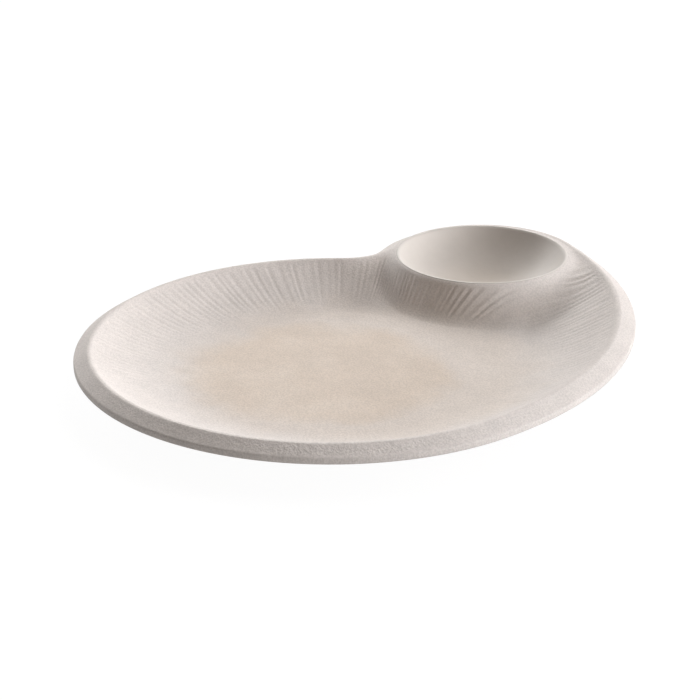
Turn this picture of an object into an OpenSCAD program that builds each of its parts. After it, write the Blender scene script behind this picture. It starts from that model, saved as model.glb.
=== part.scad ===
// Serving plate with a dip bowl: a round fluted dish whose wall runs on into a small bowl at one end.
// The plan is four arcs that meet tangentially. The rim is level, the bowl stands in a collar of the dish.
// Lengths are millimetres. X runs from the dish to the bowl, Z is up, and the plate stands on Z zero.

/* [Outline] */
// Radius of the round dish, out to its widest edge
dish_r = 112; // [104:0.5:120]
// Distance from the middle of the dish to the middle of the bowl
bowl_offset = 131; // [124:0.5:140]
// Flatness of the long full side: what its radius exceeds half the plate's length by
side_extra = 27.95; // [14:0.05:54]
// Radius of the hollow between dish and bowl on the other side
hollow_r = 22; // [18:0.5:32]

/* [Rim] */
// Width of the sloping band outside the crest
band_w = 6.9; // [4:0.1:8]
// What the crest's arc along the full side is flatter by than the edge's, so that the band widens there
side_flat = 8; // [0:0.5:14]
// Fall of the band from the crest to the widest edge
band_fall = 4.25; // [2:0.05:5]
// Half width of the rounding of the crest
crest_round = 1.4; // [0.6:0.1:2]
// Height of the upright lip below the widest edge
lip_h = 2.8; // [1.5:0.1:4]
// Level shoulder between the bowl and the crest at the narrow end
shoulder_w = 2.4; // [1.8:0.1:6]
// Thickness of the shell under the crest
rim_t = 5; // [4:0.1:6]

/* [Dish] */
// Depth of the dish from the crest to the floor
dish_depth = 15.65; // [11:0.05:18]
// Thickness of the floor
floor_t = 4.5; // [3.5:0.1:6]
// Run of the dish wall from the crest down to the floor
slope_run = 41.5; // [34:0.5:48]
// Run of the collar from the bowl down to the floor
collar_run = 16; // [14:0.5:24]
// What the collar runs wider by toward the full side
collar_spread = 8; // [0:0.5:10]

/* [Flutes] */
// Number of flutes round the wall
flutes = 116; // [80:2:130]
// Depth of a flute
flute_depth = 0.25; // [0.15:0.05:0.6]
// Place of the centre of the flutes along the plate, from the middle of the dish
flute_x = 21; // [12:0.5:28]
// Place of the centre of the flutes across the plate
flute_y = 11.4; // [4:0.2:14]

/* [Bowl] */
// Radius of the bowl at its lip
bowl_r = 41; // [36:0.5:46]
// Depth of the bowl below its lip
bowl_depth = 17.5; // [12:0.1:18.5]
// Wall of the bowl
bowl_wall = 3; // [2.5:0.1:3.5]
// Width of the lip of the bowl
bowl_lip_w = 0.8; // [0.6:0.1:1.2]
// Height of the lip above the crest of the plate
bowl_lip_h = 0.3; // [0.2:0.1:1.2]
// Overhang of the lip on the collar
lip_seat = 0.4; // [0.3:0.1:0.6]
// Clearance of the bowl in the collar
seat_gap = 0.1; // [0.05:0.05:0.2]
// Radius of the foot under the bowl
bowl_foot_r = 20; // [16:0.5:24]

/* [Foot] */
// Height of the foot ring
foot_h = 2.5; // [2:0.1:4]
// Width of both feet
foot_w = 4; // [3:0.1:6]
// Distance of the foot ring inside the edge of the flat floor
foot_inset = 4; // [3:0.5:10]
// Bevel on the standing edges of both feet
foot_bevel = 0.6; // [0.3:0.1:1]

/* [Hidden] */
$fn = 96;

// Shape of the dish wall, and softness where it meets the collar
wall_power = 1.9;
meet_share = 0.7;
// Shape of the collar: end of its soft top, slope where that starts, and end of its straight face
collar_top_share = 0.136;
collar_top_slope = 0.4;
collar_straight_share = 0.52;
// Drop of the rounded crest
crest_drop_share = 0.3;
// Shares of the wall height between which the flutes fade in and out
fade_low_share = [0.02, 0.35];
fade_high_share = [0.84, 0.94];
// Fullness of the bowl: zero is a paraboloid, one has an upright wall
bowl_full_share = 0.85;
bowl_steps = 16;

// Mesh of the body: columns along the flutes, rings across them
bowl_cols = 60;
neck_cols = 24;
inner_rings = 7;
outer_rings = 3;
under_outer_rings = 2;
under_inner_rings = 4;
// Shares of the slope run: reach of all the rings, of the outer rings, and the least the outer ones keep
reach_share = 1.05;
outer_share = 0.36;
outer_least_share = 0.1;

z_floor = foot_h + floor_t;
z_crest = z_floor + dish_depth;
z_edge = z_crest - band_fall;
z_lip = z_edge - lip_h;
z_bowl = z_crest + bowl_lip_h;

lobe_r = bowl_r + shoulder_w + band_w;
side_r = (bowl_offset + dish_r + lobe_r) / 2 + side_extra;
hole_r = bowl_r - lip_seat;
dish_c = [0, 0];
bowl_c = [bowl_offset, 0];
flute_c = [flute_x, flute_y];
side_c = arc_centre(side_r - dish_r, side_r - lobe_r);
crest_side_r = side_r - band_w + side_flat;
crest_side_c = arc_centre(crest_side_r - dish_r + band_w, crest_side_r - lobe_r + band_w);
hollow_c = arc_centre(dish_r + hollow_r, lobe_r + hollow_r);
// Middle of the plate's bounding box, seen from above
mid = [(bowl_offset + lobe_r - dish_r) / 2, (dish_r + side_c.y - side_r) / 2];

// The bowl as seen along the flutes from their centre
bowl_dist = norm(bowl_c - flute_c);
bowl_dir = bearing(bowl_c);
bowl_half = asin(hole_r / bowl_dist);
first_dir = bowl_dir - bowl_half;
neck_dir = bearing(dish_edge(hollow_c, band_w));
rear_span = first_dir + 360 - neck_dir;
rear_flutes = round(flutes * rear_span / 360);
front_flutes = flutes - rear_flutes;
rear_cols = 2 * rear_flutes;

dirs = concat(
    [for (k = [0 : bowl_cols]) bowl_dir + asin(hole_r / bowl_dist * sin(180 * k / bowl_cols - 90))],
    [for (k = [1 : neck_cols]) mix(bowl_dir + bowl_half, neck_dir, k / neck_cols)],
    [for (k = [1 : rear_cols - 1]) neck_dir + rear_span * k / rear_cols]
);
cols = len(dirs);

// Numbers of the rings where each stretch of a column ends
near_k = inner_rings;
far_k = near_k + 1;
crest_k = far_k + outer_rings + 1;
lip_k = crest_k + 3;
under_far_k = lip_k + 1 + under_outer_rings;
under_near_k = under_far_k + 1;
last_k = under_near_k + under_inner_rings;
column_len = last_k + 1;

function mix(a, b, share) = a + (b - a) * share;
function limit(x) = min(1, max(0, x));
function ease(x) = let (s = limit(x)) s * s * (3 - 2 * s);
function unit(v) = v / norm(v);
function bearing(p) = atan2(p.y - flute_c.y, p.x - flute_c.x);

// Centre of an arc that lies r1 from the middle of the dish and r2 from the middle of the bowl
function arc_centre(r1, r2) =
    let (x = (r1 * r1 - r2 * r2 + bowl_offset * bowl_offset) / (2 * bowl_offset))
    [x, sqrt(r1 * r1 - x * x)];

// Where the outline, drawn in by inset, passes from one arc to the next
function dish_edge(toward, inset) = (dish_r - inset) * unit(toward - dish_c);
function side_edge(toward, centre, r) = centre + r * unit(toward - centre);
function lobe_edge(toward, inset) = bowl_c + (lobe_r - inset) * unit(toward - bowl_c);

// Distance from the centre of the flutes to a circle, along direction t; way is 1 for its far side
function reach(c, r, t, way) =
    let (q = c - flute_c, m = q.x * cos(t) + q.y * sin(t))
    m + way * sqrt(max(0, m * m - q * q + r * r));

// Distance to the near side of a circle, where direction t meets it before r_most
function near_reach(c, r, t, r_most) =
    let (q = c - flute_c, m = q.x * cos(t) + q.y * sin(t), hits = m > 0 && q * q - m * m < r * r)
    hits ? min(r_most, reach(c, r, t, -1)) : r_most;

// Distance from the centre of the flutes to the outline, drawn in by inset, with its own arc along the side
function outline(t, inset, centre, r) =
    let (
        first = bearing(side_edge(dish_c, centre, r)),
        u = t < first ? t + 360 : t >= first + 360 ? t - 360 : t
    )
    u < bearing(side_edge(bowl_c, centre, r)) ? reach(centre, r, u, 1)
    : u < bearing(lobe_edge(hollow_c, inset)) ? reach(bowl_c, lobe_r - inset, u, 1)
    : u < bearing(dish_edge(hollow_c, inset)) ? reach(hollow_c, hollow_r + inset, u, -1)
    : reach(dish_c, dish_r - inset, u, 1);

// Whether p lies between two directions from an apex, turning left from the first to the last
function in_wedge(p, apex, first, last) = cross(first, p - apex) >= 0 && cross(p - apex, last) >= 0;

// Distance of a point from the crest: from the nearest of its four arcs
function crest_distance(p) =
    let (
        in_dish = !in_wedge(p, dish_c, dish_c - crest_side_c, hollow_c - dish_c),
        in_side = in_wedge(p, crest_side_c, dish_c - crest_side_c, bowl_c - crest_side_c),
        in_lobe = in_wedge(p, bowl_c, bowl_c - crest_side_c, hollow_c - bowl_c),
        in_hollow = in_wedge(p, hollow_c, dish_c - hollow_c, bowl_c - hollow_c)
    )
    min(
        in_dish ? dish_r - band_w - norm(p - dish_c) : bowl_offset,
        in_side ? crest_side_r - norm(p - crest_side_c) : bowl_offset,
        in_lobe ? lobe_r - band_w - norm(p - bowl_c) : bowl_offset,
        in_hollow ? norm(p - hollow_c) - hollow_r - band_w : bowl_offset
    );

// Height share of the dish wall
function dish_wall(p) = pow(limit(1 - crest_distance(p) / slope_run), wall_power);

// Height share of the collar: a soft top, a straight face and a filleted foot
collar_top_fall = collar_top_share * (1 + collar_top_slope) / 2;
collar_foot_fall = (1 - collar_straight_share) / 2;
collar_steep = 1 / (collar_top_fall + collar_straight_share - collar_top_share + collar_foot_fall);
function collar(p) =
    let (
        d = norm(p - bowl_c),
        run = collar_run - collar_spread * (p.y - bowl_c.y) / d,
        u = limit((d - bowl_r) / run)
    )
    u < collar_top_share ?
        1 - collar_steep * (collar_top_slope * u + (1 - collar_top_slope) * u * u / (2 * collar_top_share))
    : u < collar_straight_share ? 1 - collar_steep * (collar_top_fall + u - collar_top_share)
    : collar_steep * (1 - u) * (1 - u) / (2 * (1 - collar_straight_share));

// Height share of the smooth surface: the dish wall and the collar, softly joined
function level(p) =
    let (a = collar(p), b = dish_wall(p))
    (a + b + sqrt((a - b) * (a - b) + 4 * meet_share * a * b * (1 - a) * (1 - b))) / 2;

function flute_angle(t) =
    t <= neck_dir ? 360 * front_flutes * (t - first_dir) / (neck_dir - first_dir)
    : 360 * rear_flutes * (t - neck_dir) / rear_span;

function flute(t, share) =
    flute_depth * (1 - cos(flute_angle(t))) / 2
    * ease((share - fade_low_share[0]) / (fade_low_share[1] - fade_low_share[0]))
    * (1 - ease((share - fade_high_share[0]) / (fade_high_share[1] - fade_high_share[0])));

function at(t, r, z) = [flute_c.x + r * cos(t), flute_c.y + r * sin(t), z];
function plan(t, r) = [flute_c.x + r * cos(t), flute_c.y + r * sin(t)];
function top_at(t, r) =
    let (share = level(plan(t, r)))
    at(t, r, z_floor + dish_depth * share - flute(t, share));
function under_at(t, r) =
    at(t, r, foot_h + (z_crest - rim_t - foot_h) * level(plan(t, r)));

// One column of points: up the wall, past the bowl, over the crest and back along the underside
function column(i) =
    let (
        t = dirs[i],
        crest = outline(t, band_w, crest_side_c, crest_side_r),
        edge = outline(t, 0, side_c, side_r),
        along = bowl_dist * cos(t - bowl_dir),
        aside = abs(bowl_dist * sin(t - bowl_dir)),
        in_front = along > 0,
        collar_r = bowl_r + collar_run + collar_spread,
        hollow_foot = near_reach(hollow_c, hollow_r + band_w + slope_run, t, crest - reach_share * slope_run),
        start = near_reach(bowl_c, collar_r, t, hollow_foot),
        away = in_front ? ease((aside - hole_r) / (collar_r - hole_r)) : 1,
        turn = min(mix(along, crest - outer_share * slope_run, away), crest - outer_least_share * slope_run),
        over = i <= bowl_cols,
        near = over ? reach(bowl_c, hole_r, t, -1) : turn,
        far = over ? reach(bowl_c, hole_r, t, 1) : turn,
        z_drop = crest_drop_share * crest_round,
        z_band = z_crest - band_fall * crest_round / (edge - crest)
    )
    concat(
        [for (k = [0 : inner_rings]) top_at(t, mix(start, near, k / inner_rings))],
        [for (k = [0 : outer_rings]) top_at(t, mix(far, crest - crest_round, k / outer_rings))],
        [at(t, crest, z_crest - z_drop), at(t, crest + crest_round, z_band)],
        [at(t, edge, z_edge), at(t, edge, z_lip)],
        [for (k = [0 : under_outer_rings]) under_at(t, mix(crest, far, k / under_outer_rings))],
        [for (k = [0 : under_inner_rings]) under_at(t, mix(near, start, k / under_inner_rings))]
    );

// Number of point k of column i; beside the bowl the two points at the hole are one
function id(i, k) =
    let (c = i % cols, single = c == 0 || c >= bowl_cols)
    c * column_len + (single && k == far_k ? near_k : single && k == under_near_k ? under_far_k : k);

function strip(k, from, to) = [
    for (i = [from : to]) each [
        [id(i, k), id(i + 1, k), id(i + 1, k + 1)],
        [id(i, k), id(i + 1, k + 1), id(i, k + 1)]
    ]
];
function wall(top_k, low_k, i, j) = [
    [id(i, top_k), id(j, top_k), id(j, low_k)],
    [id(i, top_k), id(j, low_k), id(i, low_k)]
];

module plate_body() {
    points = concat(
        [for (i = [0 : cols - 1]) each column(i)],
        [at(0, 0, z_floor), at(0, 0, foot_h)]
    );
    top_mid = cols * column_len;
    low_mid = top_mid + 1;
    faces = concat(
        [for (i = [0 : cols - 1]) [top_mid, id(i + 1, 0), id(i, 0)]],
        [for (k = [0 : last_k - 1]) if (k != near_k && k != under_far_k) each strip(k, 0, cols - 1)],
        [for (i = [0 : bowl_cols - 1]) each wall(near_k, under_near_k, i, i + 1)],
        [for (i = [0 : bowl_cols - 1]) each wall(far_k, under_far_k, i + 1, i)],
        [for (i = [0 : cols - 1]) [low_mid, id(i, last_k), id(i + 1, last_k)]]
    );
    color("#dcd5cd")
        translate([-mid.x, -mid.y, 0])
            polyhedron(points, [for (f = faces) if (f[0] != f[1] && f[1] != f[2] && f[0] != f[2]) f]);
}

// Height of the inside of the bowl at radius r, and of its outside below that
function bowl_in_z(r) =
    let (s = r / (bowl_r - bowl_lip_w), end = sqrt(1 - bowl_full_share))
    z_bowl - bowl_depth * (sqrt(1 - bowl_full_share * s * s) - end) / (1 - end);
function bowl_out_z(r) =
    let (s = r / (bowl_r - bowl_lip_w))
    bowl_in_z(r) - bowl_wall * mix(1, norm([bowl_r, 2 * bowl_depth]) / bowl_r, s * s);

// Section of a standing foot of outer radius r, from height h down to the table and up to height h_in
function foot_section(r, h, h_in) = [
    [r, h],
    [r, foot_bevel],
    [r - foot_bevel, 0],
    [r - foot_w + foot_bevel, 0],
    [r - foot_w, foot_bevel],
    [r - foot_w, h_in]
];

module dip_bowl() {
    inside_r = bowl_r - bowl_lip_w;
    outside_r = hole_r - seat_gap;
    round_lip = bowl_lip_w / 4;
    inside = [for (k = [0 : bowl_steps]) let (r = inside_r * k / bowl_steps) [r, bowl_in_z(r)]];
    lip = [
        [bowl_r - round_lip, z_bowl],
        [bowl_r, z_bowl - round_lip],
        [bowl_r, z_crest],
        [outside_r, z_crest]
    ];
    outside = [
        for (k = [0 : bowl_steps - 1])
            let (r = mix(outside_r, bowl_foot_r, k / bowl_steps)) [r, bowl_out_z(r)]
    ];
    foot = foot_section(bowl_foot_r, bowl_out_z(bowl_foot_r), bowl_out_z(bowl_foot_r - foot_w));
    color("#cfc7be")
        translate([bowl_offset - mid.x, -mid.y, 0])
            rotate_extrude()
                polygon(concat(inside, lip, outside, foot, [[0, bowl_out_z(0)]]));
}

module foot_ring() {
    floor_r = min(dish_r - band_w - slope_run, bowl_offset - bowl_r - collar_run);
    color("#b8ada0")
        translate([-mid.x, -mid.y, 0])
            rotate_extrude()
                polygon(foot_section(floor_r - foot_inset, foot_h, foot_h));
}

plate_body();
dip_bowl();
foot_ring();
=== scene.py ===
"""Looks of a fluted plate with a dip bowl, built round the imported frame. Lengths are metres."""

import math

import bpy
import numpy as np
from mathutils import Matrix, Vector

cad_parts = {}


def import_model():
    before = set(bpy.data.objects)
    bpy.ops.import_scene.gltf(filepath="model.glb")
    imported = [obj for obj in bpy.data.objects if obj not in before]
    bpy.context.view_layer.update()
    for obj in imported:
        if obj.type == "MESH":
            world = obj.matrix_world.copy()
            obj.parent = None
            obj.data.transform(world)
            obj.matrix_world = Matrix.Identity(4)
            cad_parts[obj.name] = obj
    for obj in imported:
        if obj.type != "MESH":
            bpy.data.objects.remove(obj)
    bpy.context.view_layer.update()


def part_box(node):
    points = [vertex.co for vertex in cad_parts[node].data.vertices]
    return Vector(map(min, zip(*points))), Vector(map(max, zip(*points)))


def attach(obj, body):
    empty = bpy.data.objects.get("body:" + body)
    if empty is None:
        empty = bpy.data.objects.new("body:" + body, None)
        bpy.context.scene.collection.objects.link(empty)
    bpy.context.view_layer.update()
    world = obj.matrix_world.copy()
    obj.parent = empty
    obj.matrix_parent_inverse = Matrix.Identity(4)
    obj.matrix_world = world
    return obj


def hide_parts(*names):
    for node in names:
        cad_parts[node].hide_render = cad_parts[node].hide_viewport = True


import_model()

MM = 0.001
FULL_TURN = 2 * math.pi

# Sizes that the frame gives: the foot ring lies round the middle of the dish
PLATE_LOW, PLATE_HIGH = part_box("plate_body")
BOWL_LOW, BOWL_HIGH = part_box("dip_bowl")
FOOT_LOW, FOOT_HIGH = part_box("foot_ring")
DISH_C = np.array((FOOT_LOW + FOOT_HIGH).xy) / 2
BOWL_C = np.array((BOWL_LOW + BOWL_HIGH).xy) / 2
DISH_R = DISH_C[0] - PLATE_LOW.x
LOBE_R = PLATE_HIGH.x - BOWL_C[0]
BOWL_R = BOWL_HIGH.x - BOWL_C[0]
FOOT_R = FOOT_HIGH.x - DISH_C[0]
BOWL_TOP = BOWL_HIGH.z
CREST_Z = PLATE_HIGH.z
UNDER_Z = PLATE_LOW.z

# Unit vector in the plan toward the wide shoulder, which is the photograph's right
WIDE_WAY = np.array((0.545, -0.838))
AWAY_WAY = np.array((-WIDE_WAY[1], WIDE_WAY[0]))

# Outline and rim
SIDE_EXTRA = 27.95 * MM
SIDE_R = (BOWL_C[0] - DISH_C[0] + DISH_R + LOBE_R) / 2 + SIDE_EXTRA
HOLLOW_R = 22 * MM
BAND_W = 6.9 * MM
LOBE_BAND_W = 6.3 * MM
LOBE_SHIFT = 2 * MM
SIDE_FLAT = 8 * MM
BAND_FALL = 4.25 * MM
LIP_H = 2.8 * MM
RIM_T = 5 * MM
CREST_SOFT = 1.8 * MM
EDGE_ROUND = 0.8 * MM

# Dish wall: directions are degrees about the centre of the flutes, each with its width
DISH_DEPTH = 15.65 * MM
SLOPE_RUN = 41.5 * MM
WALL_POWER = 1.9
NECK_STEEPER = 0.24
NECK_TURN = (28, 16)
FAN_STRAIGHTER = 0.55
FAN_TURN = (-42, 20)

# Collar: its run out from the bowl, and its soft top and straight face as shares of that run
COLLAR_RUN = 19.5 * MM
COLLAR_SPREAD = 6 * MM
COLLAR_TOP = 0.136
COLLAR_TOP_SLOPE = 0.4
COLLAR_STRAIGHT = 0.52
# Softness of the join between wall and collar: 0 leaves a crease
MEET_SOFT = 0.7

# Flutes: boldness is a share of their depth by direction in degrees
FLUTE_C = DISH_C + np.array((21, 11.4)) * MM
FLUTE_W = 4.1 * MM
FLUTE_DEPTH = 0.2 * MM
FLUTE_BOLDNESS = (
    (-57, 0.7), (-36, 1.1), (-30, 1.6), (-20, 1.9), (0, 1.8), (12, 1.2), (20, 0.7), (33, 0.4),
    (48, 0.55), (73, 0.65), (98, 0.92), (123, 0.45), (165, 0.23), (200, 0.28), (230, 0.42),
    (275, 0.4),
)
# Waves that make the flutes uneven: in width as size in radians, count and start, and in depth
# as size and count
WIDTH_WAVES = ((0.8, 37, 1), (0.6, 59, 2))
DEPTH_WAVES = ((0.3, 83), (0.2, 47))
# Steps in which the run along the crest is measured, to space the flutes
RUN_STEPS = 3000
# Height shares over which the flutes grow from the floor and end under the crest
FADE_LOW = (0.02, 0.35)
FADE_HIGH = (0.84, 0.94)
# Faint rays at the front: direction and width in degrees, and where they fade from the crest
FRONT_RAYS = 0.75
FRONT_TURN = (214, 13)
FRONT_FADE = (36 * MM, 66 * MM)

# Bowl and feet
BOWL_DEPTH = 17.5 * MM
BOWL_WALL = 3 * MM
BOWL_LIP_W = 1 * MM
BOWL_FULL = 0.72
BOWL_FOOT_R = 20 * MM
FOOT_W = 4 * MM
FOOT_BEVEL = 0.6 * MM
INSIDE_STEPS = 48
OUTSIDE_STEPS = 24
LIP_SEAT = 0.4 * MM
SEAT_GAP = 0.1 * MM

# Columns of points on the plate: across the bowl, on to the neck, and round the rest
BOWL_COLS = 280
NECK_COLS = 140
REAR_COLS = 1240
# Rings of points on the plate: floor to seat, seat to crest, over the rim, and back below
SLOPE_RINGS = 44
UPPER_RINGS = 18
CREST_RINGS = 10
BAND_RINGS = 8
EDGE_RINGS = 5
LIP_RINGS = 4
OUTER_RINGS = 8
INNER_RINGS = 16
# Distances from the crest as shares of the wall's run: where columns start, and where their
# inner and outer parts join beside the bowl, at most and at least
START_SHARE = 1.05
JOIN_SHARE = 0.36
JOIN_LEAST = 0.1
# Step in which the slope at the crest is measured, and where in the crest's rounding the band
# starts
SLOPE_STEP = 0.1 * MM
BAND_START = 0.65

# Colours, as the share of light that they send back
PALE = (0.775, 0.715, 0.675, 1)
WARM = (0.735, 0.625, 0.53, 1)
WARM_PALE = (0.765, 0.67, 0.585, 1)
GLAZE = (0.735, 0.68, 0.63, 1)
GLAZE_POOL = (0.7, 0.625, 0.55, 1)
BARE = (0.62, 0.53, 0.42, 1)

# Warm patch of the dish and its faint part toward the wide shoulder: each fades between two
# distances from its centre
PATCH_C = DISH_C + np.array((0, 5)) * MM
PATCH_FADE = (58 * MM, 86 * MM)
PATCH_WANDER = 26 * MM
FAINT_C = PATCH_C + 17 * MM * WIDE_WAY
FAINT_FADE = (78 * MM, 106 * MM)
FAINT_SHARE = 0.45
# Coarse grain: it fades along the band with the distance from its front, and lies round the
# collar's foot, where it starts and ends at distances from the middle of the bowl
FRONT_C = DISH_C - 105 * MM * AWAY_WAY
FRONT_GRAIN_FADE = (60 * MM, 130 * MM)
SIDE_GRAIN = 0.3
COLLAR_GRAIN_START = (46 * MM, 54 * MM)
COLLAR_GRAIN_END = (58 * MM, 70 * MM)
COLLAR_GRAIN = 0.8
COARSE_TIMES = 2
# Glaze that pools in the middle of the bowl
POOL_FADE = (10 * MM, 36 * MM)
POOL_WANDER = 12 * MM
# Sizes of blotches and grains, and heights of the finest relief
WANDER_SIZE = 22 * MM
MOTTLE_SIZE = 30 * MM
CLOUD_SIZE = 14 * MM
GRAIN_SIZE = 0.8 * MM
COARSE_SIZE = 1.5 * MM
DIMPLE_SIZE = 9 * MM
POOL_SIZE = 15 * MM
GLAZE_CLOUD_SIZE = 12 * MM
RIPPLE_SIZE = 2.5 * MM
OPEN_GRAIN_SIZE = 1.1 * MM
GRAIN_H = 0.12 * MM
DIMPLE_H = 0.25 * MM
RIPPLE_H = 0.04 * MM
OPEN_GRAIN_H = 0.15 * MM
# Span that most of a noise lies in, and the part of it that makes pale mottles
NOISE_SPAN = (0.3, 0.7)
MOTTLE_SPAN = (0.45, 0.75)
MOTTLE_SHARE = 0.6
# Darkest and lightest shade that clouds and speckles give a colour
CLOUD_SHADES = (0.97, 1.03)
SPECKLE_SHADES = (0.92, 1.08)
GLAZE_SHADES = (0.98, 1.02)
OPEN_SHADES = (0.9, 1.06)

# Camera: angles in degrees, and the point that it is aimed at, from the middle of the dish
CAMERA_TILT = 22.37
CAMERA_TURN = 32.85
CAMERA_FAR = 963.4 * MM
CAMERA_AIM = (3.39 * MM, -7.03 * MM)
CAMERA_LENS = 113.94
CAMERA_SENSOR = 36

# Broad soft lights: turn from the photograph's right, height, share of light, width and tint.
# Angles are degrees, and the photograph's right lies at RIGHT_TURN
RIGHT_TURN = -57.06
COOL, SUNNY, WHITE = (0.98, 1, 1.045), (1.12, 0.97, 0.85), (1, 1, 1)
LIGHTS = (
    (-22.5, 4, 0.43, 20, COOL),
    (0, 4, 0.28, 20, COOL),
    (0, 12, 0.047, 35, COOL),
    (0, 22, 0.105, 20, COOL),
    (-90, 35, 0.04, 35, SUNNY),
    (-45, 35, 0.06, 35, SUNNY),
    (0, 35, 0.195, 35, WHITE),
    (45, 35, 0.117, 35, WHITE),
    (90, 22, 0.135, 20, WHITE),
    (90, 35, 0.224, 35, WHITE),
    (112.5, 22, 0.17, 20, WHITE),
    (135, 12, 0.133, 35, WHITE),
    (135, 22, 0.155, 20, WHITE),
    (0, 60, 0.115, 35, WHITE),
    (45, 60, 0.05, 35, WHITE),
    (180, 60, 0.04, 35, WHITE),
)
# Floor: size, then grey and glow as the camera sees it and as it lights the plate
STAGE_SIZE = 6
STAGE_SEEN = (0.1, 0.95)
STAGE_BOUNCE = (0.5, 0.16)

FLOOR_Z = CREST_Z - DISH_DEPTH
EDGE_Z = CREST_Z - BAND_FALL
LIP_Z = EDGE_Z - LIP_H
HOLE_R = BOWL_R - LIP_SEAT


def mix(a, b, share):
    return a + (b - a) * share


def ease(x):
    s = np.clip(x, 0, 1)
    return s * s * (3 - 2 * s)


def shares(count):
    """Even steps from 0 to 1, without the 0."""
    return np.linspace(0, 1, count + 1)[1:]


def arc_centre(r1, r2, lobe_c):
    """Point of the plan that lies r1 from the middle of the dish and r2 from that of the lobe."""
    way = lobe_c - DISH_C
    span = np.hypot(*way)
    along = (r1 * r1 - r2 * r2 + span * span) / (2 * span)
    aside = math.sqrt(r1 * r1 - along * along)
    return DISH_C + (along * way + aside * np.array((-way[1], way[0]))) / span


def rim(dish_r, lobe_r, side_r, hollow_r, lobe_c):
    """Centre and radius of the four arcs, each touching the next, of a line round the plate."""
    return {
        "dish": (DISH_C, dish_r),
        "lobe": (lobe_c, lobe_r),
        "side": (arc_centre(side_r - dish_r, side_r - lobe_r, lobe_c), side_r),
        "hollow": (arc_centre(dish_r + hollow_r, lobe_r + hollow_r, lobe_c), hollow_r),
    }


LOBE_C = BOWL_C + LOBE_SHIFT * WIDE_WAY
EDGE = rim(DISH_R, LOBE_R, SIDE_R, HOLLOW_R, BOWL_C)
CREST_SIDE_R = SIDE_R - BAND_W + SIDE_FLAT
CREST = rim(DISH_R - BAND_W, LOBE_R - LOBE_BAND_W, CREST_SIDE_R, HOLLOW_R + BAND_W, LOBE_C)


def toward(centre, aim, radius):
    """Point of a circle that faces another point."""
    way = aim - centre
    return centre + radius * way / np.hypot(*way)


def bearing(point):
    return math.atan2(point[1] - FLUTE_C[1], point[0] - FLUTE_C[0])


def reach(centre, radius, t, way=1):
    """Distance along directions t to a circle's far side, or with way -1 to its near side."""
    q = centre - FLUTE_C
    m = q[0] * np.cos(t) + q[1] * np.sin(t)
    return m + way * np.sqrt(np.maximum(0, m * m - q @ q + radius * radius))


def near_reach(centre, radius, t, most):
    """Distance to a circle's near side where directions t meet it before most, else most."""
    q = centre - FLUTE_C
    m = q[0] * np.cos(t) + q[1] * np.sin(t)
    hits = (m > 0) & (q @ q - m * m < radius * radius)
    return np.where(hits, np.minimum(most, reach(centre, radius, t, -1)), most)


def outline(t, line):
    """Distance from the centre of the flutes to a closed line of four arcs, along directions t."""
    dish, lobe, side, hollow = (line[name] for name in ("dish", "lobe", "side", "hollow"))
    first = bearing(toward(side[0], DISH_C, side[1]))
    u = first + np.mod(t - first, FULL_TURN)
    ends = [
        bearing(toward(side[0], lobe[0], side[1])),
        bearing(toward(lobe[0], hollow[0], lobe[1])),
        bearing(toward(DISH_C, hollow[0], dish[1])),
    ]
    reaches = [reach(*side, u), reach(*lobe, u), reach(*hollow, u, -1)]
    return np.select([u < end for end in ends], reaches, reach(*dish, u))


BOWL_DIST = math.dist(BOWL_C, FLUTE_C)
BOWL_DIR = bearing(BOWL_C)
BOWL_HALF = math.asin(HOLE_R / BOWL_DIST)
FIRST_DIR = BOWL_DIR - BOWL_HALF
NECK_DIR = bearing(toward(DISH_C, CREST["hollow"][0], CREST["dish"][1]))
REAR_SPAN = FIRST_DIR + FULL_TURN - NECK_DIR

# Run along the crest over a whole turn, shortened where the collar's face lies before it
ALL_DIRS = np.linspace(FIRST_DIR, FIRST_DIR + FULL_TURN, RUN_STEPS + 1)
CREST_R = outline(ALL_DIRS, CREST)
FACE_R = near_reach(BOWL_C, BOWL_R + COLLAR_RUN / 2, ALL_DIRS, CREST_R)
CREST_STEPS = np.hypot(np.diff(CREST_R * np.cos(ALL_DIRS)), np.diff(CREST_R * np.sin(ALL_DIRS)))
CREST_RUN = np.append(0, np.cumsum(CREST_STEPS * np.sqrt(FACE_R[1:] / CREST_R[1:])))
FLUTES = round(CREST_RUN[-1] / FLUTE_W)


def in_wedge(x, y, apex, first, last):
    """Whether points lie between two directions from an apex, turning left from first to last."""
    u, v = x - apex[0], y - apex[1]
    return (first[0] * v - first[1] * u >= 0) & (u * last[1] - v * last[0] >= 0)


def crest_distance(x, y):
    """Distance of points inside the crest from it: from the nearest of its four arcs."""
    side_c, hollow_c = CREST["side"][0], CREST["hollow"][0]
    arcs = (
        (~in_wedge(x, y, DISH_C, DISH_C - side_c, hollow_c - DISH_C), "dish", -1),
        (in_wedge(x, y, side_c, DISH_C - side_c, LOBE_C - side_c), "side", -1),
        (in_wedge(x, y, LOBE_C, LOBE_C - side_c, hollow_c - LOBE_C), "lobe", -1),
        (in_wedge(x, y, hollow_c, DISH_C - hollow_c, LOBE_C - hollow_c), "hollow", 1),
    )
    distances = []
    for inside, name, way in arcs:
        centre, radius = CREST[name]
        from_arc = way * (np.hypot(x - centre[0], y - centre[1]) - radius)
        distances.append(np.where(inside, from_arc, math.inf))
    return np.minimum.reduce(distances)


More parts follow.
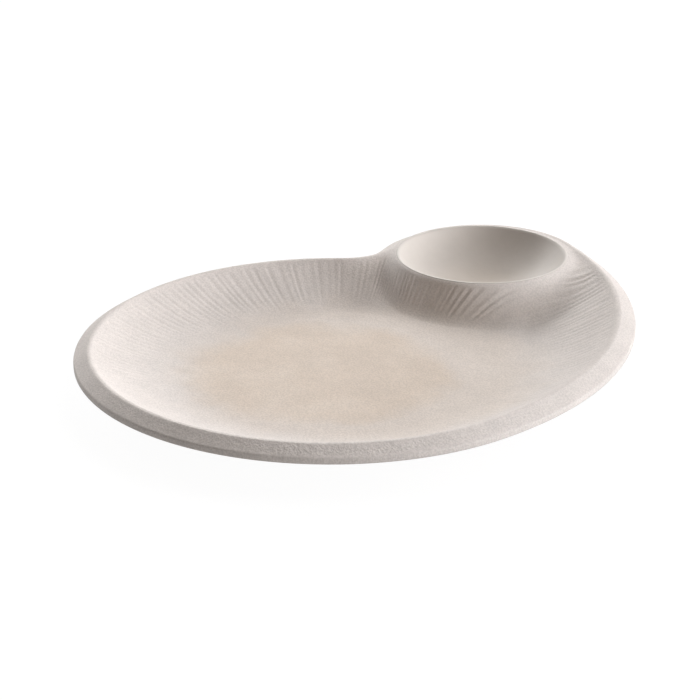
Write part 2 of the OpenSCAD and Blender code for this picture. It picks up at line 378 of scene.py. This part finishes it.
def wall(x, y):
    """Height share of the dish wall, steeper by the neck and straighter at the wide shoulder."""
    turn = np.degrees(np.arctan2(y - FLUTE_C[1], x - FLUTE_C[0]))
    neck, fan = (np.exp(-(((turn - way) / width) ** 2)) for way, width in (NECK_TURN, FAN_TURN))
    run = SLOPE_RUN * (1 - NECK_STEEPER * neck)
    left = np.clip(1 - np.maximum(crest_distance(x, y), 0) / run, 0, 1)
    return left ** (WALL_POWER - FAN_STRAIGHTER * fan)


def collar(x, y):
    """Height share of the collar: soft top, straight face and filleted foot, wider on one side."""
    d = np.maximum(np.hypot(x - BOWL_C[0], y - BOWL_C[1]), MM)
    wide = (WIDE_WAY[0] * (x - BOWL_C[0]) + WIDE_WAY[1] * (y - BOWL_C[1])) / d
    u = np.clip((d - BOWL_R) / (COLLAR_RUN + COLLAR_SPREAD * wide), 0, 1)
    top = COLLAR_TOP_SLOPE * u + (1 - COLLAR_TOP_SLOPE) * u * u / (2 * COLLAR_TOP)
    below = COLLAR_TOP * (1 + COLLAR_TOP_SLOPE) / 2
    steep = 1 / (below + COLLAR_STRAIGHT - COLLAR_TOP + (1 - COLLAR_STRAIGHT) / 2)
    straight = 1 - steep * (below + u - COLLAR_TOP)
    foot = (1 - u) ** 2 / (2 * (1 - COLLAR_STRAIGHT))
    parts = [u < COLLAR_TOP, u < COLLAR_STRAIGHT]
    return np.select(parts, [1 - steep * top, straight], steep * foot)


def level(x, y):
    """Height share of the smooth surface: the dish wall and the collar, softly joined."""
    a = collar(x, y)
    b = wall(x, y)
    return (a + b + np.sqrt((a - b) ** 2 + 4 * MEET_SOFT * a * b * (1 - a) * (1 - b))) / 2


def flute_angle(t):
    """Flutes of nearly one width along the crest, and not much narrower on the collar's face."""
    even = FULL_TURN * np.interp(t, ALL_DIRS, CREST_RUN / CREST_RUN[-1])
    waves = (size * np.sin(count * even + start) for size, count, start in WIDTH_WAVES)
    return FLUTES * even + sum(waves)


def flute(t, share, from_crest):
    """Depth of the fluting, which fades out under the crest and toward the floor."""
    low = ease((share - FADE_LOW[0]) / (FADE_LOW[1] - FADE_LOW[0]))
    high = 1 - ease((share - FADE_HIGH[0]) / (FADE_HIGH[1] - FADE_HIGH[0]))
    front = np.exp(-(((np.degrees(t) - FRONT_TURN[0]) / FRONT_TURN[1]) ** 2))
    rays = FRONT_RAYS * front * ease((FRONT_FADE[1] - from_crest) / (FRONT_FADE[1] - FRONT_FADE[0]))
    bold = np.interp(np.degrees(t), *zip(*FLUTE_BOLDNESS), period=360)
    uneven = 1 + sum(size * np.sin(count * t) for size, count in DEPTH_WAVES)
    carving = (1 - np.cos(flute_angle(t))) / 2
    return FLUTE_DEPTH * bold * uneven * carving * np.maximum(low, rays) * high


def plan(t, r):
    return FLUTE_C[0] + r * np.cos(t), FLUTE_C[1] + r * np.sin(t)


def top_z(t, r, crest, edge):
    """Height of the upper surface: the fluted slope, a soft crest and the band outside it."""
    inside = np.minimum(r, crest)
    share = level(*plan(t, inside))
    climb = DISH_DEPTH * (1 - level(*plan(t, crest - SLOPE_STEP))) / SLOPE_STEP
    slope = FLOOR_Z + DISH_DEPTH * share + climb * (r - inside) - flute(t, share, crest - inside)
    band = CREST_Z - BAND_FALL * (r - crest) / (edge - crest)
    near = np.maximum(CREST_SOFT - np.abs(slope - band), 0) / CREST_SOFT
    return np.minimum(slope, band) - near * near * CREST_SOFT / 4


def under_z(t, r, crest):
    """Height of the smooth underside."""
    return UNDER_Z + (CREST_Z - RIM_T - UNDER_Z) * level(*plan(t, np.minimum(r, crest)))


def grid_mesh(name, points, faces):
    mesh = bpy.data.meshes.new(name)
    mesh.from_pydata(points.tolist(), [], faces)
    mesh.validate()
    mesh.polygons.foreach_set("use_smooth", [True] * len(mesh.polygons))
    obj = bpy.data.objects.new(name, mesh)
    bpy.context.scene.collection.objects.link(obj)
    return obj


def column_dirs():
    """Directions of the plate's columns: close together where they touch the bowl's seat."""
    side = np.linspace(-math.pi / 2, math.pi / 2, BOWL_COLS + 1)
    return np.concatenate([
        BOWL_DIR + np.arcsin(HOLE_R / BOWL_DIST * np.sin(side)),
        mix(BOWL_DIR + BOWL_HALF, NECK_DIR, shares(NECK_COLS)),
        NECK_DIR + REAR_SPAN * shares(REAR_COLS)[:-1],
    ])


def column_stops(t, crest):
    """Where columns leave the flat floor, and the two sides of the bowl's seat, or their join."""
    along = BOWL_DIST * np.cos(t - BOWL_DIR)
    aside = np.abs(BOWL_DIST * np.sin(t - BOWL_DIR))
    collar_r = BOWL_R + COLLAR_RUN + COLLAR_SPREAD
    hollow_c, hollow_r = CREST["hollow"]
    foot = near_reach(hollow_c, hollow_r + SLOPE_RUN, t, crest - START_SHARE * SLOPE_RUN)
    start = near_reach(BOWL_C, collar_r, t, foot)
    away = np.where(along > 0, ease((aside - HOLE_R) / (collar_r - HOLE_R)), 1)
    join = mix(along, crest - JOIN_SHARE * SLOPE_RUN, away)
    join = np.minimum(join, crest - JOIN_LEAST * SLOPE_RUN)
    over = np.arange(len(t)) <= BOWL_COLS
    near, far = (np.where(over, reach(BOWL_C, HOLE_R, t, way), join) for way in (-1, 1))
    return start, near, far


def plate_rings(t):
    """Rings as distances, heights and whether on the band, and the last ring before each gap."""
    crest = outline(t, CREST)
    edge = outline(t, EDGE)
    start, near, far = column_stops(t, crest)
    soft = np.minimum(CREST_SOFT, (crest - far) / 2)
    rings = []

    def top(r, band=False):
        rings.append((r, top_z(t, r, crest, edge), band))

    def under(r):
        rings.append((r, under_z(t, r, crest), False))

    def rim_at(r, z, band=True):
        rings.append((r, z + 0 * r, band))

    for s in (0, *shares(SLOPE_RINGS)):
        top(mix(start, near, s))
    near_k = len(rings) - 1
    for s in (0, *shares(UPPER_RINGS)):
        top(mix(far, crest - soft, s))
    for s in shares(CREST_RINGS):
        top(mix(crest - soft, crest + soft, s), s > BAND_START)
    for s in shares(BAND_RINGS):
        top(mix(crest + soft, edge - EDGE_ROUND, s), True)
    # Rounded edge, upright lip, rounded lower edge and the rim's underside
    z_in = top_z(t, edge - EDGE_ROUND, crest, edge)
    for s in shares(EDGE_RINGS):
        rim_at(edge - EDGE_ROUND * (1 - s) ** 2, mix(z_in, EDGE_Z - EDGE_ROUND, (s * s + s) / 2))
    rim_at(edge, mix(EDGE_Z, LIP_Z, 0.5))
    rim_at(edge, LIP_Z + EDGE_ROUND)
    for a in shares(LIP_RINGS) * math.pi / 2:
        rim_at(edge - EDGE_ROUND * (1 - math.cos(a)), LIP_Z + EDGE_ROUND * (1 - math.sin(a)))
    for s in shares(LIP_RINGS):
        rim_at(mix(edge - 2 * EDGE_ROUND, crest, s), mix(LIP_Z, CREST_Z - RIM_T, ease(s)), False)
    for s in shares(OUTER_RINGS):
        under(mix(crest, far, s))
    far_k = len(rings) - 1
    for s in (0, *shares(INNER_RINGS)):
        under(mix(near, start, s))
    return rings, near_k, far_k


def plate_faces(cols, count, near_k, far_k):
    """Faces over the grid of points, round the bowl's hole, and to the two middle points."""
    number = np.arange(cols * count).reshape(cols, count)
    # Beyond the hole's columns the two rings beside a gap are one
    one = (np.arange(cols) == 0) | (np.arange(cols) >= BOWL_COLS)
    number[one, near_k + 1] = number[one, near_k]
    number[one, far_k + 1] = number[one, far_k]
    after = np.roll(number, -1, axis=0)
    faces = []
    for k in range(count - 1):
        if k not in (near_k, far_k):
            corners = [number[:, k], number[:, k + 1], after[:, k + 1], after[:, k]]
            faces += np.stack(corners, 1).tolist()
    for upper, lower, way in ((near_k, far_k + 1, -1), (near_k + 1, far_k, 1)):
        corners = [number[:, upper], after[:, upper], after[:, lower], number[:, lower]]
        faces += np.stack(corners, 1)[:BOWL_COLS, ::way].tolist()
    top_mid, low_mid = cols * count, cols * count + 1
    faces += [[top_mid, a, b] for a, b in zip(number[:, 0].tolist(), after[:, 0].tolist())]
    faces += [[low_mid, b, a] for a, b in zip(number[:, -1].tolist(), after[:, -1].tolist())]
    return faces


def without_repeats(face):
    return [v for i, v in enumerate(face) if v != face[i - 1]]


def plate_body():
    """The fluted plate: columns of points up the wall, over the crest and back below."""
    t = column_dirs()
    rings, near_k, far_k = plate_rings(t)
    x, y, z = (np.stack(rows, 1) for rows in zip(*((*plan(t, r), z) for r, z, _ in rings)))
    middle = [[*FLUTE_C, FLOOR_Z], [*FLUTE_C, UNDER_Z]]
    points = np.vstack([np.stack([x, y, z], 2).reshape(-1, 3), middle])
    band = np.append(np.tile([float(on_band) for _, _, on_band in rings], len(t)), [0, 0])

    faces = [without_repeats(face) for face in plate_faces(len(t), len(rings), near_k, far_k)]
    faces = [face for face in faces if len(face) > 2]
    used = np.unique(np.concatenate(faces))
    renumber = np.full(len(points), -1)
    renumber[used] = np.arange(len(used))
    plate = grid_mesh("fluted_plate", points[used], [renumber[face].tolist() for face in faces])
    plate.data.attributes.new("band", "FLOAT", "POINT").data.foreach_set("value", band[used])
    return plate


def revolve(name, section, centre, steps=240):
    """A closed solid of revolution; its section is a closed line, or starts and ends on the axis."""
    turns = np.arange(steps) * FULL_TURN / steps
    points = []
    rows = []
    for r, z in section:
        if r == 0:
            rows.append([len(points)] * steps)
            points.append([centre[0], centre[1], z])
        else:
            rows.append(list(range(len(points), len(points) + steps)))
            points += [[centre[0] + r * math.cos(a), centre[1] + r * math.sin(a), z] for a in turns]
    faces = []
    for row, after in zip(rows, rows[1:] + rows[:1]):
        for i in range(steps):
            j = (i + 1) % steps
            face = without_repeats([row[i], after[i], after[j], row[j]])
            if len(face) > 2:
                faces.append(face)
    return grid_mesh(name, np.array(points), faces)


def round_corner(before, corner, after, radius, steps=4):
    """Points that take a section round a corner on a soft curve."""
    corner = np.array(corner)
    ways = [np.array(p) - corner for p in (before, after)]
    a, b = (corner + way / np.hypot(*way) * radius for way in ways)
    steps_on = (0, *shares(steps))
    return [tuple((1 - s) ** 2 * a + 2 * s * (1 - s) * corner + s * s * b) for s in steps_on]


def bowl_in_z(r):
    """Height of the bowl's inside, which is a part of an ellipse."""
    s = r / (BOWL_R - BOWL_LIP_W)
    end = math.sqrt(1 - BOWL_FULL)
    return BOWL_TOP - BOWL_DEPTH * (math.sqrt(1 - BOWL_FULL * s * s) - end) / (1 - end)


def bowl_out_z(r):
    """Height of the bowl's outside, which leaves an even wall."""
    s = r / (BOWL_R - BOWL_LIP_W)
    return bowl_in_z(r) - BOWL_WALL * mix(1, math.hypot(BOWL_R, 2 * BOWL_DEPTH) / BOWL_R, s * s)


def foot_section(r, top, top_in):
    """Section of a ring with bevelled edges that stands on the table."""
    outer, inner = (r, 0), (r - FOOT_W, 0)
    return [
        (r, top),
        *round_corner((r, top), outer, inner, FOOT_BEVEL),
        *round_corner(outer, inner, (r - FOOT_W, top_in), FOOT_BEVEL),
        (r - FOOT_W, top_in),
    ]


def dip_bowl():
    """The bowl with its crisp thin lip, its seat in the collar and its small foot."""
    inside_r = BOWL_R - BOWL_LIP_W
    outside_r = HOLE_R - SEAT_GAP
    inside = [(inside_r * s, bowl_in_z(inside_r * s)) for s in (0, *shares(INSIDE_STEPS))]
    lip = round_corner(inside[-1], (BOWL_R, BOWL_TOP), (BOWL_R, CREST_Z), BOWL_LIP_W / 2)
    seat = [(BOWL_R, CREST_Z), (outside_r, CREST_Z)]
    outer = [mix(outside_r, BOWL_FOOT_R, s) for s in (0, *shares(OUTSIDE_STEPS)[:-1])]
    outside = [(r, bowl_out_z(r)) for r in outer]
    foot = foot_section(BOWL_FOOT_R, bowl_out_z(BOWL_FOOT_R), bowl_out_z(BOWL_FOOT_R - FOOT_W))
    return revolve("bowl", inside + lip + seat + outside + foot + [(0, bowl_out_z(0))], BOWL_C)


def foot_ring():
    """The ring that the plate stands on."""
    return revolve("foot", foot_section(FOOT_R, UNDER_Z, UNDER_Z), DISH_C)


def heading(turn, height):
    """Unit vector at a turn in the plan and a height above it, in degrees."""
    a, e = math.radians(turn), math.radians(height)
    return Vector((math.cos(e) * math.cos(a), math.cos(e) * math.sin(a), math.sin(e)))


def camera():
    """A long lens at the photograph's height and bearing, aimed past the middle of the dish."""
    forward = heading(CAMERA_TURN, -CAMERA_TILT)
    data = bpy.data.cameras.new("camera")
    data.lens = CAMERA_LENS
    data.sensor_width = CAMERA_SENSOR
    obj = bpy.data.objects.new("camera", data)
    obj.location = Vector((*(DISH_C + CAMERA_AIM), EDGE_Z)) - forward * CAMERA_FAR
    obj.rotation_euler = forward.to_track_quat("-Z", "Y").to_euler()
    bpy.context.scene.collection.objects.link(obj)
    bpy.context.scene.camera = obj


def lights():
    """Broad soft lights round the plate."""
    for turn, height, share, width, tint in LIGHTS:
        data = bpy.data.lights.new("soft_light", "SUN")
        data.energy = share * math.pi
        data.color = tint
        data.angle = math.radians(width)
        obj = bpy.data.objects.new("soft_light", data)
        obj.rotation_euler = heading(turn + RIGHT_TURN, height).to_track_quat("Z", "Y").to_euler()
        bpy.context.scene.collection.objects.link(obj)


def world():
    """White all round for the camera only; the lights and the floor light the plate."""
    studio = bpy.data.worlds.new("studio")
    bpy.context.scene.world = studio
    studio.use_nodes = True
    nodes, links = studio.node_tree.nodes, studio.node_tree.links
    nodes["Background"].inputs["Color"].default_value = (1, 1, 1, 1)
    path = nodes.new("ShaderNodeLightPath")
    links.new(path.outputs["Is Camera Ray"], nodes["Background"].inputs["Strength"])


def floor():
    """A white studio floor: a soft faint shadow for the camera, and an even bounce for the plate."""
    bpy.ops.mesh.primitive_plane_add(size=STAGE_SIZE, location=(0, 0, 0))
    obj = bpy.context.object
    obj.name = "floor"
    mat = bpy.data.materials.new("floor")
    mat.use_nodes = True
    nodes, links = mat.node_tree.nodes, mat.node_tree.links
    nodes.clear()
    path = nodes.new("ShaderNodeLightPath")
    pick = nodes.new("ShaderNodeMixShader")
    links.new(path.outputs["Is Camera Ray"], pick.inputs["Fac"])
    links.new(glowing_floor(nodes, links, *STAGE_BOUNCE), pick.inputs[1])
    links.new(glowing_floor(nodes, links, *STAGE_SEEN), pick.inputs[2])
    out = nodes.new("ShaderNodeOutputMaterial")
    links.new(pick.outputs["Shader"], out.inputs["Surface"])
    obj.data.materials.append(mat)


def glowing_floor(nodes, links, grey, glow):
    matt = nodes.new("ShaderNodeBsdfDiffuse")
    matt.inputs["Color"].default_value = (grey, grey, grey, 1)
    lamp = nodes.new("ShaderNodeEmission")
    lamp.inputs["Strength"].default_value = glow
    both = nodes.new("ShaderNodeAddShader")
    links.new(matt.outputs["BSDF"], both.inputs[0])
    links.new(lamp.outputs["Emission"], both.inputs[1])
    return both.outputs["Shader"]


class Recipe:
    """Node tree of one material."""

    def __init__(self, name):
        self.mat = bpy.data.materials.new(name)
        self.mat.use_nodes = True
        self.tree = self.mat.node_tree
        self.bsdf = self.tree.nodes["Principled BSDF"]
        self.place = self.add("TexCoord", {}).outputs["Object"]

    def fill(self, node, inputs):
        for key, value in inputs.items():
            if isinstance(value, bpy.types.NodeSocket):
                self.tree.links.new(value, node.inputs[key])
            else:
                node.inputs[key].default_value = value

    def add(self, kind, inputs, **settings):
        node = self.tree.nodes.new("ShaderNode" + kind)
        for key, value in settings.items():
            setattr(node, key, value)
        self.fill(node, inputs)
        return node

    def noise(self, size, detail=2.0):
        """Noise from 0 to 1 whose blotches are about size across."""
        inputs = {"Vector": self.place, "Scale": 1 / size, "Detail": detail}
        return self.add("TexNoise", inputs).outputs["Fac"]

    def distance(self, centre):
        """Level distance from an upright line through a point of the plan."""
        flat = self.add("VectorMath", {0: self.place, 1: (1, 1, 0)}, operation="MULTIPLY")
        inputs = {0: flat.outputs["Vector"], 1: (*centre, 0)}
        return self.add("VectorMath", inputs, operation="DISTANCE").outputs["Value"]

    def calc(self, operation, a, b):
        return self.add("Math", {0: a, 1: b}, operation=operation).outputs["Value"]

    def ramp(self, value, low, high, start=0.0, end=1.0):
        """A soft change from start to end while value goes from low to high."""
        inputs = {"Value": value, "From Min": low, "From Max": high, "To Min": start, "To Max": end}
        return self.add("MapRange", inputs, interpolation_type="SMOOTHSTEP").outputs["Result"]

    def blend(self, share, a, b):
        return self.add("MixRGB", {"Fac": share, "Color1": a, "Color2": b}).outputs["Color"]

    def shade(self, colour, value):
        inputs = {"Fac": 1.0, "Color1": colour, "Color2": value}
        return self.add("MixRGB", inputs, blend_type="MULTIPLY").outputs["Color"]

    def bump(self, height, distance, before=None):
        inputs = {"Height": height, "Distance": distance, "Strength": 1.0}
        if before is not None:
            inputs["Normal"] = before
        return self.add("Bump", inputs).outputs["Normal"]

    def finish(self, colour, normal, roughness, specular):
        inputs = {"Base Color": colour, "Normal": normal}
        self.fill(self.bsdf, inputs | {"Roughness": roughness, "Specular IOR Level": specular})


def patch_share(m):
    """Share of the warm patch, with a wandering edge and a faint part toward the wide shoulder."""
    wander = m.calc("MULTIPLY", m.noise(WANDER_SIZE, 4), PATCH_WANDER)
    patch = m.ramp(m.calc("ADD", m.distance(PATCH_C), wander), *PATCH_FADE, 1, 0)
    faint = m.ramp(m.calc("ADD", m.distance(FAINT_C), wander), *FAINT_FADE, FAINT_SHARE, 0)
    return m.calc("MAXIMUM", patch, faint)


def coarse_share(m):
    """Where the grain is coarse: on the band, most at the front, and at the foot of the collar."""
    band = m.add("Attribute", {}, attribute_name="band").outputs["Fac"]
    sandy = m.calc("MULTIPLY", band, m.ramp(m.distance(FRONT_C), *FRONT_GRAIN_FADE, 1, SIDE_GRAIN))
    bowl_far = m.distance(BOWL_C)
    start = m.ramp(bowl_far, *COLLAR_GRAIN_START, 0, COLLAR_GRAIN)
    collar_foot = m.calc("MULTIPLY", start, m.ramp(bowl_far, *COLLAR_GRAIN_END, 1, 0))
    return m.calc("MAXIMUM", sandy, collar_foot)


def plate_clay():
    """Matt pale stoneware with a sandy grain, coarser on the band, and a warm patch in the dish."""
    m = Recipe("plate_clay")
    mottle = m.ramp(m.noise(MOTTLE_SIZE, 5), *MOTTLE_SPAN, 0, MOTTLE_SHARE)
    cloud = m.ramp(m.noise(CLOUD_SIZE, 5), *NOISE_SPAN, *CLOUD_SHADES)
    grain = m.noise(GRAIN_SIZE)
    speckle = m.ramp(grain, *NOISE_SPAN, *SPECKLE_SHADES)
    colour = m.blend(patch_share(m), PALE, m.blend(mottle, WARM, WARM_PALE))
    colour = m.shade(m.shade(colour, cloud), speckle)
    coarse = m.calc("MULTIPLY", m.noise(COARSE_SIZE), coarse_share(m))
    height = m.calc("ADD", grain, m.calc("MULTIPLY", coarse, COARSE_TIMES))
    normal = m.bump(m.noise(DIMPLE_SIZE, 3), DIMPLE_H)
    normal = m.bump(height, GRAIN_H, normal)
    m.finish(colour, normal, roughness=0.72, specular=0.35)
    return m.mat


def bowl_glaze():
    """Smooth satin glaze, a little warmer and darker where it pools."""
    m = Recipe("bowl_glaze")
    wander = m.calc("MULTIPLY", m.noise(POOL_SIZE, 3), POOL_WANDER)
    pool = m.ramp(m.calc("ADD", m.distance(BOWL_C), wander), *POOL_FADE, 1, 0)
    cloud = m.ramp(m.noise(GLAZE_CLOUD_SIZE, 4), *NOISE_SPAN, *GLAZE_SHADES)
    colour = m.shade(m.blend(pool, GLAZE, GLAZE_POOL), cloud)
    normal = m.bump(m.noise(RIPPLE_SIZE), RIPPLE_H)
    m.finish(colour, normal, roughness=0.5, specular=0.3)
    return m.mat


def foot_clay():
    """Bare clay, ground smooth where it stands, with a coarse open grain."""
    m = Recipe("foot_clay")
    grain = m.noise(OPEN_GRAIN_SIZE, 3)
    colour = m.shade(BARE, m.ramp(grain, *NOISE_SPAN, *OPEN_SHADES))
    m.finish(colour, m.bump(grain, OPEN_GRAIN_H), roughness=0.9, specular=0.5)
    return m.mat


camera()
floor()
world()
lights()
bpy.context.scene.view_settings.view_transform = "Standard"

for piece, material, node, slot in (
    (plate_body(), plate_clay(), "plate_body", "body_clay"),
    (dip_bowl(), bowl_glaze(), "dip_bowl", "bowl_glaze"),
    (foot_ring(), foot_clay(), "foot_ring", "foot_clay"),
):
    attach(piece, "root")
    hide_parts(node)
    piece.data.materials.append(material)
